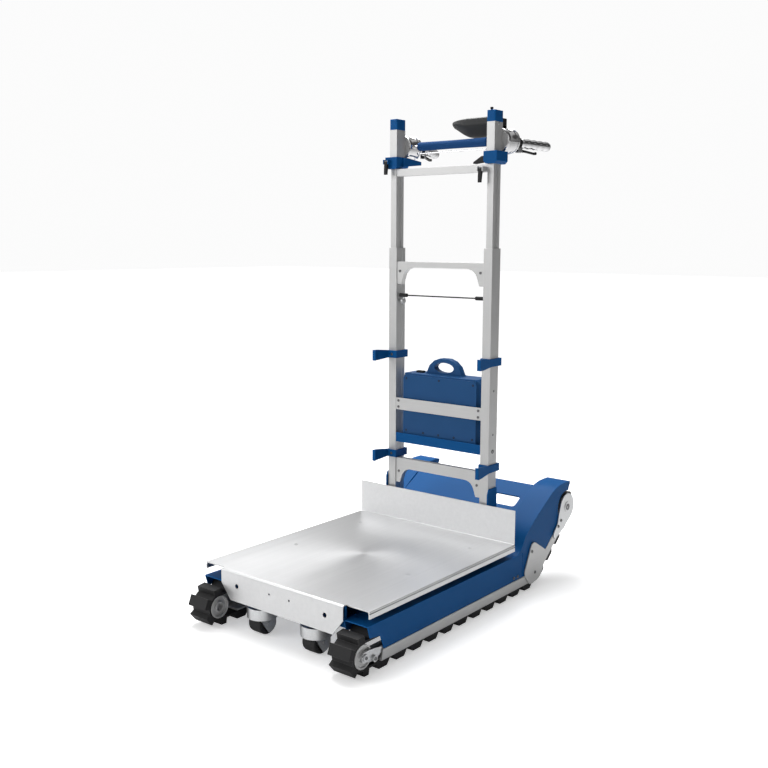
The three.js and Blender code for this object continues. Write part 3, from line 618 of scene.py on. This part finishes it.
# %% Handles
GRIP_TURN = math.radians(16)
GRIP_DIP = math.radians(2)
GRIP_REACH = 126
BELL_START = 43.4 * MM         # behind the sleeve's front
CHEEK = (2.6, 15, 18)          # the two cheeks of the brake lever's bracket, in millimetres
CHEEK_APART, CHEEK_DROP = 6.7, 19
FLANGE = [
    (0, 0), (10.8, 0), (10.8, 45.6), (33, 45.6), (36.6, 47), (37.4, 49.5), (36.6, 52), (31, 53),
    (29.5, 53.4), (28.5, 57.5), (23, 58.5), (20.6, 61), (17, 62), (16.4, 67), (12, 68), (11, 69),
    (11, 108), (0, 108),
]
BELL = [
    (31.2, 0), (34.6, 1), (36, 4), (36, 9), (34.8, 11), (34.4, 30), (34.8, 43), (36.4, 45),
    (36.4, 50), (34.4, 52), (32, 52.4), (13, 52.4), (13, 50), (31.2, 50),
]
ridges = [(14.2 + 1.9 * math.cos(i * math.pi / 3), 70 + i * 0.9) for i in range(38)]
BOOT = [(11.2, 69.5), *ridges, (11.2, 104.5)]
swell = [(14.2 + 0.8 * math.cos((t - 10) / 25 * 2 * math.pi), t) for t in range(10, 111, 3)]
GRIP = [
    (0, -12), (13.4, -12), (14.8, -10.6), (14.8, 1.5), (13.2, 3), (13.2, 6), *swell, (14.2, 113),
    (13.4, 118), (11.4, 122), (7.6, 125), (3, GRIP_REACH - 0.1), (0, GRIP_REACH),
]
for side, sign in SIDES.items():
    node = f"handle_{side}"
    body = BODY_OF[node]
    hub = PIVOT[f"handle_turn_{side}"]
    start = Vector((hub.x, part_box(node)[0].y, hub.z))
    bend = Vector((hub.x, PIVOT[f"brake_squeeze_{side}"].y, hub.z))
    piece = lathe(node, FLANGE, start, (0, 1, 0))
    settle(f"handle_flange_{side}", piece, CHROME, body, angle=30)
    back = Vector((hub.x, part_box(f"sleeve_{side}")[0].y + BELL_START, hub.z))
    piece = turned_ring("bell", BELL, back, (0, 1, 0))
    settle(f"hub_bell_{side}", piece, CHROME, BODY_OF[f"sleeve_{side}"], angle=30)
    piece = lathe(node, BOOT, start, (0, 1, 0))
    settle(f"handle_boot_{side}", piece, RUBBER, body)
    way = (sign * math.sin(GRIP_TURN), math.cos(GRIP_TURN), -math.sin(GRIP_DIP))
    piece = lathe(node, GRIP, bend, way)
    made = settle(f"handle_grip_{side}", piece, CHROME, body, [node], 40)
    cheeks = bmesh.new()
    for offset in (-CHEEK_APART, CHEEK_APART):
        place = Matrix.Translation(bend) @ Matrix.Rotation(-sign * GRIP_TURN, 4, "Z")
        place = place @ Matrix.Translation((offset * MM, 0, -CHEEK_DROP * MM))
        place = place @ Matrix.Diagonal((*(v * MM for v in CHEEK), 1))
        bmesh.ops.create_cube(cheeks, size=1, matrix=place)
    round_edges(cheeks, 0.8 * MM, 2, 30)
    settle(f"brake_bracket_{side}", loose("cheeks", cheeks), ZINC, body)
print("handles made, grip", len(made.data.polygons), "faces")

# %% [markdown]
# ## Push bar
# A steel rod between the two sleeves wears a foam tube. The tube's ends are rounded over and its
# skin sinks very slightly towards the middle, where hands press it.

# %% Push bar and tie rod
low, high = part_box("push_bar")
middle = (low + high) / 2
FOAM_HALF, FOAM_R = 128, size("push_bar").z / 2 / MM
foam_profile = [(0, 0), (FOAM_R - 4, 0), (FOAM_R - 1.2, 1), (FOAM_R - 0.2, 3.6)]
for step in range(17):
    share = step / 16
    sunk = 0.7 * math.sin(math.pi * share) ** 2
    foam_profile.append((FOAM_R - sunk, 5 + share * (2 * FOAM_HALF - 10)))
foam_profile += [(r, 2 * FOAM_HALF - d) for r, d in reversed(foam_profile[:4])]
grip = lathe("foam", foam_profile, (-FOAM_HALF * MM, middle.y, middle.z), (1, 0, 0))
settle("push_bar_foam", grip, FOAM, BODY_OF["push_bar"], ["push_bar"], 60)
rod = [(0, 0), (5, 0), (5, size("push_bar").x / MM), (0, size("push_bar").x / MM)]
piece = lathe("rod", rod, (low.x, middle.y, middle.z), (1, 0, 0), 24)
settle("push_bar_rod", piece, CHROME, BODY_OF["push_bar"])
TIE_FORWARD, TIE_DROP = 8 * MM, 22 * MM
tie = [
    (0, 0), (3.6, 0.4), (4, 2), (4, 9), (2.3, 10),
    (2.3, 246), (4, 247), (4, 254), (3.6, 255.6), (0, 256),
]
tie_start = (-FOAM_HALF * MM, middle.y - TIE_FORWARD, middle.z - TIE_DROP)
piece = lathe("tie", tie, tie_start, (1, 0, 0), 24)
settle("brake_tie_rod", piece, CHROME, BODY_OF["push_bar"])
print("push bar", round(size("push_bar").x, 3), "m long")

# %% [markdown]
# ## Casters
# A caster wheel is a polyurethane or rubber tyre cast on a hub. The tyre here is crowned with
# round shoulders, and a dished hub shows at each side.

# %% Caster wheels
for side in SIDES:
    node = f"caster_wheel_{side}"
    body = BODY_OF[node]
    low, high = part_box(node)
    wide, radius = (high.x - low.x) / MM, (high.z - low.z) / 2 / MM
    start = Vector((low.x, (low.y + high.y) / 2, (low.z + high.z) / 2))
    tread = [(radius * 0.66, 0.8), (radius - 3, 0.4), (radius - 1, 1.6)]
    tread += [(radius - 0.2, 4), (radius, 8)]
    tread += [(r, wide - d) for r, d in reversed(tread)]
    outline = tread + [(radius * 0.62, wide - 4), (radius * 0.62, 4)]
    tyre = turned_ring("tyre", outline, start, (1, 0, 0), 56)
    settle(f"caster_tyre_{side}", tyre, RUBBER, body, [node])
    hub = [(0, 2), (8, 2), (9, 3), (9.6, 6), (16, 6.6), (17.5, 4.4), (20.2, 4)]
    hub += [(r, wide - d) for r, d in reversed(hub)]
    settle(f"caster_hub_{side}", lathe("hub", hub, start, (1, 0, 0)), ZINC, body)
print("caster tyre", round(radius * 2), "mm across")

# %% [markdown]
# ## Console
# The control pod is a soft moulding that narrows to a blunt nose. A loft of seven-sided sections,
# scaled along its length and smoothed by Subdivision Surface, gives the continuous surface that a
# bevelled block can't. Its long creases stay half sharp, as the mould's parting lines are.

# %% Console pod
low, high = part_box("console")
SECTION = [  # across and down, as shares of the half depth and the height
    (-0.86, 0.94), (-1.0, 0.58), (-0.28, 0.0), (0.83, 0.0), (1.0, 0.17), (0.88, 0.42), (-0.66, 1.0),
]
STATIONS = [  # share of length, depth, drop of the top, height
    (0, 0.30, 0.16, 0.20), (0.02, 0.50, 0.12, 0.32), (0.08, 0.70, 0.07, 0.46),
    (0.18, 0.88, 0.03, 0.72), (0.30, 0.98, 0, 0.96), (0.36, 1, 0, 1), (0.6, 1, 0, 1),
    (0.84, 1, 0, 1), (0.87, 0.97, 0, 0.97),
]
BRACKET = [  # shares of the length, metres behind the front, shares of the height
    ((0.80, 1.0), (0.001, 0.052), (0.34, 0.48)),
    ((0.80, 1.0), (0.032, 0.052), (0.34, 0.84)),
]
half_deep, tall = 41.5 * MM, high.z - low.z
middle_y = high.y - half_deep
rings = []
for share, deep, drop, height in STATIONS:
    x = low.x + (high.x - low.x) * share
    rings.append([
        Vector((x, middle_y + u * half_deep * deep, high.z - tall * (drop + height * (1 - v))))
        for u, v in SECTION
    ])
bm = skin(rings)
crease = bm.edges.layers.float.new("crease_edge")
for edge in bm.edges:
    along = edge.verts[1].co - edge.verts[0].co
    edge[crease] = 0.55 if abs(along.x) > 0.5 * along.length else 0
pod = loose("console", bm)
smooth = pod.modifiers.new("smooth", "SUBSURF")
smooth.levels = smooth.render_levels = 3
bpy.context.view_layer.update()
settle("console_pod", pod, POD_PLASTIC, BODY_OF["console"], ["console"], 60)
bracket = bmesh.new()
for x, y, z in BRACKET:
    corner, far = (
        Vector((low.x + (high.x - low.x) * x[end], low.y + y[end], low.z + tall * z[end]))
        for end in (0, 1)
    )
    place = Matrix.Translation((corner + far) / 2) @ Matrix.Diagonal((*(far - corner), 1))
    bmesh.ops.create_cube(bracket, size=1, matrix=place)
round_edges(bracket, 1.5 * MM, 3, 30)
piece = loose("bracket", bracket)
settle("console_bracket", piece, BLACK_PLASTIC, BODY_OF["console"])
print("console pod", round(high.x - low.x, 3), "m wide")

# %% [markdown]
# ## Battery
# The battery is a moulded case with a separate front cover. The case is the node with generous
# edges. The cover is a plate with round corners that stands three millimetres proud, and its
# edge throws the thin shadow line that tells the eye there are two halves.


# %% Battery case and cover
def plate(name, low, high, corner, front, thick, steps=6):
    """An upright plate in the X-Z plane with rounded corners, its front at the given Y."""
    bm = bmesh.new()
    points = []
    for cx, cz, turn in ((1, 0, -90), (1, 1, 0), (0, 1, 90), (0, 0, 180)):
        x = (high.x - corner) if cx else (low.x + corner)
        z = (high.z - corner) if cz else (low.z + corner)
        for i in range(steps + 1):
            t = math.radians(turn + 90 * i / steps)
            points.append((x + corner * math.cos(t), front, z + corner * math.sin(t)))
    face = bm.faces.new([bm.verts.new(p) for p in points])
    out = bmesh.ops.extrude_face_region(bm, geom=[face])
    moved = [g for g in out["geom"] if isinstance(g, bmesh.types.BMVert)]
    bmesh.ops.translate(bm, vec=(0, thick, 0), verts=moved)
    bmesh.ops.recalc_face_normals(bm, faces=bm.faces)
    round_edges(bm, 0.8 * MM, 2, 40)
    return loose(name, bm)


soften("battery_pack", BLUE_PLASTIC, 2.4 * MM, 3)
low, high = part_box("battery_pack")
INSET, FOOT, TOP, PROUD, CORNER = 8 * MM, 6 * MM, 216 * MM, 3 * MM, 15 * MM
cover_low = Vector((low.x + INSET, 0, low.z + FOOT))
cover_high = Vector((high.x - INSET, 0, low.z + TOP))
cover_front = low.y - PROUD
cover = plate("cover", cover_low, cover_high, CORNER, cover_front, 3.2 * MM)
settle("battery_cover", cover, BLUE_PLASTIC, BODY_OF["battery_pack"])
print("battery", [round(v, 3) for v in size("battery_pack")], "m")

# %% [markdown]
# ## Geometry Nodes for hardware
# Every screw is the same few shapes: a head with a rounded shoulder and a recess. The tree below
# makes one head and instances it on a cloud of points. Each point carries the direction it faces
# in an attribute, so one tree serves the deck, the posts and the battery.


# %% A small Geometry Nodes builder
class Graph:
    def __init__(self, name, sizes):
        self.tree = bpy.data.node_groups.new(name, "GeometryNodeTree")
        face = self.tree.interface
        face.new_socket("Geometry", in_out="OUTPUT", socket_type="NodeSocketGeometry")
        face.new_socket("Geometry", in_out="INPUT", socket_type="NodeSocketGeometry")
        for label, default in sizes.items():
            kind = "NodeSocketInt" if isinstance(default, int) else "NodeSocketFloat"
            face.new_socket(label, in_out="INPUT", socket_type=kind).default_value = default
        face.new_socket("Finish", in_out="INPUT", socket_type="NodeSocketMaterial")
        self.given = self.tree.nodes.new("NodeGroupInput").outputs

    def node(self, kind, settings=None, values=None):
        made = self.tree.nodes.new(kind)
        for key, value in (settings or {}).items():
            setattr(made, key, value)
        for key, value in (values or {}).items():
            if isinstance(value, bpy.types.NodeSocket):
                self.tree.links.new(value, made.inputs[key])
            else:
                made.inputs[key].default_value = value
        return made.outputs

    def maths(self, operation, first, second):
        return self.node("ShaderNodeMath", {"operation": operation}, {0: first, 1: second})[0]

    def finish(self, instances):
        solid = self.node("GeometryNodeRealizeInstances", None, {"Geometry": instances})
        coloured = self.node("GeometryNodeSetMaterial", None,
                             {"Geometry": solid[0], "Material": self.given["Finish"]})
        end = self.tree.nodes.new("NodeGroupOutput")
        self.tree.links.new(coloured[0], end.inputs["Geometry"])


def grow(name, graph, base, sizes, finish, body, angle=38):
    """Runs a tree on a base mesh and bakes the result into one piece on its body."""
    source = loose(name, base)
    modifier = source.modifiers.new("grow", "NODES")
    modifier.node_group = graph.tree
    for item in graph.tree.interface.items_tree:
        if item.in_out == "INPUT" and item.name in sizes:
            modifier[item.identifier] = sizes[item.name]
        if item.in_out == "INPUT" and item.name == "Finish":
            modifier[item.identifier] = finish
    bpy.context.view_layer.update()
    piece = settle(name, source, None, body, angle=angle)
    print(name, len(piece.data.polygons), "faces")
    return piece


def screw_tree():
    g = Graph("screws", {"Radius": 0.004, "Height": 0.002, "Recess": 0.0012})
    radius, height, recess = (g.given[k] for k in ("Radius", "Height", "Recess"))
    head = g.node("GeometryNodeMeshCylinder", None,
                  {"Vertices": 24, "Radius": radius, "Depth": height})
    shoulder = g.node("GeometryNodeExtrudeMesh", {"mode": "FACES"}, {
        "Mesh": head["Mesh"], "Selection": head["Top"],
        "Offset Scale": g.maths("MULTIPLY", height, 0.3)})
    domed = g.node("GeometryNodeScaleElements", {"domain": "FACE"}, {
        "Geometry": shoulder["Mesh"], "Selection": shoulder["Top"], "Scale": 0.82})
    rim = g.node("GeometryNodeExtrudeMesh", {"mode": "FACES"}, {
        "Mesh": domed[0], "Selection": shoulder["Top"], "Offset Scale": 0.0})
    inner = g.node("GeometryNodeScaleElements", {"domain": "FACE"}, {
        "Geometry": rim["Mesh"], "Selection": rim["Top"], "Scale": 0.6})
    well = g.node("GeometryNodeExtrudeMesh", {"mode": "FACES"}, {
        "Mesh": inner[0], "Selection": rim["Top"],
        "Offset Scale": g.maths("MULTIPLY", recess, -1.0)})
    aim = g.node("GeometryNodeInputNamedAttribute", {"data_type": "FLOAT_VECTOR"}, {"Name": "aim"})
    turned = g.node("FunctionNodeAlignRotationToVector", {"axis": "Z"}, {"Vector": aim[0]})
    placed = g.node("GeometryNodeInstanceOnPoints", None, {
        "Points": g.given["Geometry"], "Instance": well["Mesh"], "Rotation": turned[0]})
    g.finish(placed[0])
    return g


SCREWS = screw_tree()


def screws(name, spots, body, finish, radius, height, recess=0.0012):
    """spots are (place, direction) pairs in metres."""
    base = bmesh.new()
    aim = base.verts.layers.float_vector.new("aim")
    for place, direction in spots:
        base.verts.new(place)[aim] = Vector(direction)
    sizes = {"Radius": radius * MM, "Height": height * MM, "Recess": recess}
    return grow(name, SCREWS, base, sizes, finish, body)


# %% [markdown]
# Most of the screws' places are shares of the boxes of the pieces that they fasten. The deck's
# screws and the heights of the screws on the battery and the right post are in metres.


# %% Screws and bolts
def outer(node, sign, y, z, out=0.0):
    """A point on a node's outer side, at these shares of its length and height."""
    return at(node, 1 if sign > 0 else 0, y, z) + OUTWARD * (sign * out)


FORWARD, OUTWARD, UPWARD = Vector((0, -1, 0)), Vector((1, 0, 0)), Vector((0, 0, 1))
DECK_SCREW_X, DECK_SCREW_Y = (-0.21, 0.21), (-0.217, 0.0815)
CASE_SCREWS = [  # share of the width, height
    (0.07, 0.627), (0.5, 0.630), (0.93, 0.627),
    (0.07, 0.459), (0.30, 0.457), (0.5, 0.457), (0.70, 0.457), (0.93, 0.459),
]
PLUG_HEIGHTS, LOCK_HEIGHT = (0.615, 0.481), 0.429
SLEEVE_SCREW_REACH, SLEEVE_SCREW_Y = 0.917, 0.2255
HOOK_BOLT_OUT = 3.6 * MM
ARM_SUNK = -2.1 * MM           # the arm's bolts sit on its recessed face
HUB_SUNK = -2.0 * MM
deck_spots = [(Vector((x, y, DECK_TOP)), UPWARD) for x in DECK_SCREW_X for y in DECK_SCREW_Y]
screws("deck_screws", deck_spots, "chassis", ZINC, 6.5, 0.8, 0.0012)
front = []
for bar, height in (("upper_crossbar", 0.58), ("lower_crossbar", 0.46)):
    front += [(at(bar, share, 0, height), FORWARD) for share in (0.035, 0.965)]
for share in (0.03, 0.97):
    front += [(at("middle_bar", share, 0, height), FORWARD) for height in (0.24, 0.76)]
for side in SIDES:
    for level in ("upper", "lower"):
        spot = at(f"mast_post_{side}", 0.5, 0, 0) + FORWARD * HOOK_BOLT_OUT
        spot.z = at(f"{level}_hook_{side}", 0, 0, 0.5).z
        front.append((spot, FORWARD))
screws("frame_bolts", front, "chassis", BOLT, 4.2, 2.2)
sides = []
for side, sign in SIDES.items():
    out, knee = OUTWARD * sign, f"knee_plate_{side}"
    rail, arm = f"side_rail_{side}", f"rear_tensioner_{side}"
    sides += [(outer(knee, sign, y, z), out) for y, z in ((0.30, 0.80), (0.46, 0.25))]
    sides += [(outer(rail, sign, y, 0.13), out) for y in (0.935, 0.965, 0.03)]
    sides += [(outer(arm, sign, y, z, ARM_SUNK), out) for y, z in ((0.22, 0.28), (0.35, 0.40))]
screws("side_bolts", sides, "chassis", BOLT, 5.0, 2.4)
wheel_bolts, drum_bolts = [], []
for side, sign in SIDES.items():
    out = OUTWARD * sign
    face = outer(f"front_tensioner_{side}", sign, 0, 0).x
    axle = PIVOT[f"idler_spin_{side}"]
    wheel_bolts.append((Vector((face + sign * HUB_SUNK, axle.y, axle.z)), out))
    wheel_bolts.append((Vector((face, axle.y + 33 * MM, axle.z - 12 * MM)), out))
    drum, face = PIVOT[f"drum_spin_{side}"], outer(f"rear_tensioner_{side}", sign, 0, 0).x
    drum_bolts.append((Vector((face, drum.y, drum.z)), out))
screws("axle_bolts", wheel_bolts, "chassis", BOLT, 4.6, 1.8, 0.0022)
screws("drum_bolts", drum_bolts, "chassis", BOLT, 10.5, 2.0, 0.0018)
case = [(Vector((at("battery_pack", x, 0, 0).x, cover_front, z)), FORWARD) for x, z in CASE_SCREWS]
screws("battery_screws", case, "battery", BLACK_PLASTIC, 3.4, 0.9)
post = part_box("mast_post_right")
post_side = Vector((post[1].x, (post[0].y + post[1].y) / 2, 0))
plugs = [(post_side + UPWARD * z, OUTWARD) for z in PLUG_HEIGHTS]
screws("post_plugs", plugs, "chassis", BOLT, 3.6, 0.8)
lock = [(post_side + UPWARD * LOCK_HEIGHT, OUTWARD)]
screws("post_lock", lock, "chassis", BOLT, 6.6, 1.6, 0.0016)
cap_screws = []
for side, sign in SIDES.items():
    spot = outer(f"sleeve_{side}", sign, 0, 0.93)
    spot = Vector((spot.x * SLEEVE_SCREW_REACH, SLEEVE_SCREW_Y, spot.z))
    cap_screws.append((spot, OUTWARD * sign))
screws("sleeve_screws", cap_screws, "carriage", ZINC, 4.0, 1.8)

# %% [markdown]
# ## Cooling fins
# The motor of the drive unit is finned along its length. One thin disc is instanced along a line,
# and the count, the pitch and the disc's size are inputs of the tree.


# %% Motor fins
def fin_tree():
    g = Graph("fins", {"Count": 10, "Pitch": 0.007, "Radius": 0.044, "Thickness": 0.002})
    pitch = g.node("ShaderNodeCombineXYZ", None, {"X": g.given["Pitch"]})[0]
    line = g.node("GeometryNodeMeshLine", None, {"Count": g.given["Count"], "Offset": pitch})
    disc = g.node("GeometryNodeMeshCylinder", None, {
        "Vertices": 48, "Radius": g.given["Radius"], "Depth": g.given["Thickness"]})
    on_side = g.node("GeometryNodeTransform", None,
                     {"Geometry": disc["Mesh"], "Rotation": (0, math.pi / 2, 0)})
    row = g.node("GeometryNodeInstanceOnPoints", None, {"Points": line[0], "Instance": on_side[0]})
    moved = g.node("GeometryNodeInstanceOnPoints", None,
                   {"Points": g.given["Geometry"], "Instance": row[0]})
    g.finish(moved[0])
    return g


FIRST_FIN = (-0.144, 0.25645, 0.092)        # on the motor's axis, near its left end
base = bmesh.new()
base.verts.new(FIRST_FIN)
fin_sizes = {"Count": 11, "Pitch": 0.0072, "Radius": 0.0455, "Thickness": 0.0022}
grow("motor_fins", fin_tree(), base, fin_sizes, ENAMEL, "chassis")

# %% [markdown]
# ## Small hardware
# A few single pieces are left: the locking knob on the left post, which stays below the release
# rod's travel, the wedge lever on the right clamp, and the fold at the foot of the kick plate.

# %% Knob, wedge and fold
KNOB_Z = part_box("release_rod")[0].z - 13 * MM
inner_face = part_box("mast_post_left")[1].x
post_y = (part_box("mast_post_left")[0].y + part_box("mast_post_left")[1].y) / 2
knob = [(0, 0), (6, 0), (6, 4), (9, 5), (10.5, 7), (10.5, 13), (9, 15), (0, 15.5)]
piece = lathe("knob", knob, (inner_face - 1.2 * MM, post_y, KNOB_Z), (1, 0, 0), 32)
settle("height_lock_knob", piece, ZINC, "chassis")
WEDGE_BACK, WEDGE_WIDE = 14 * MM, 14 * MM
WEDGE = [(3, 6), (3, 24), (-10, 24), (-38, 8), (-40, 3), (-34, 2)]     # from the clamp's corner
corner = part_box("post_clamp_right")[0] + Vector((0, WEDGE_BACK, 0))
bm = bmesh.new()
wedge_face = bm.faces.new([bm.verts.new(corner + Vector((x, 0, z)) * MM) for x, z in WEDGE])
out = bmesh.ops.extrude_face_region(bm, geom=[wedge_face])
moved = [g for g in out["geom"] if isinstance(g, bmesh.types.BMVert)]
bmesh.ops.translate(bm, vec=(0, WEDGE_WIDE, 0), verts=moved)
bmesh.ops.recalc_face_normals(bm, faces=bm.faces)
round_edges(bm, 1.2 * MM, 3, 25)
settle("wedge_lever", loose("wedge", bm), BLACK_PLASTIC, "carriage")
FOLD_R, FOLD_HALF = 3.4, 0.2965             # radius in millimetres, half length in metres
kick_y = MOUNT["kick_plate_front"].y
fold = [(0, 0)]
for step in range(9):
    turn = step * math.pi / 16
    fold.append((-FOLD_R + FOLD_R * math.sin(turn), FOLD_R - FOLD_R * math.cos(turn)))
rings = [
    [Vector((x, kick_y + y * MM, DECK_TOP + z * MM)) for y, z in fold]
    for x in (-FOLD_HALF, FOLD_HALF)
]
piece = loose("fold", skin(rings))
settle("kick_plate_fold", piece, STEEL, "chassis", angle=50)
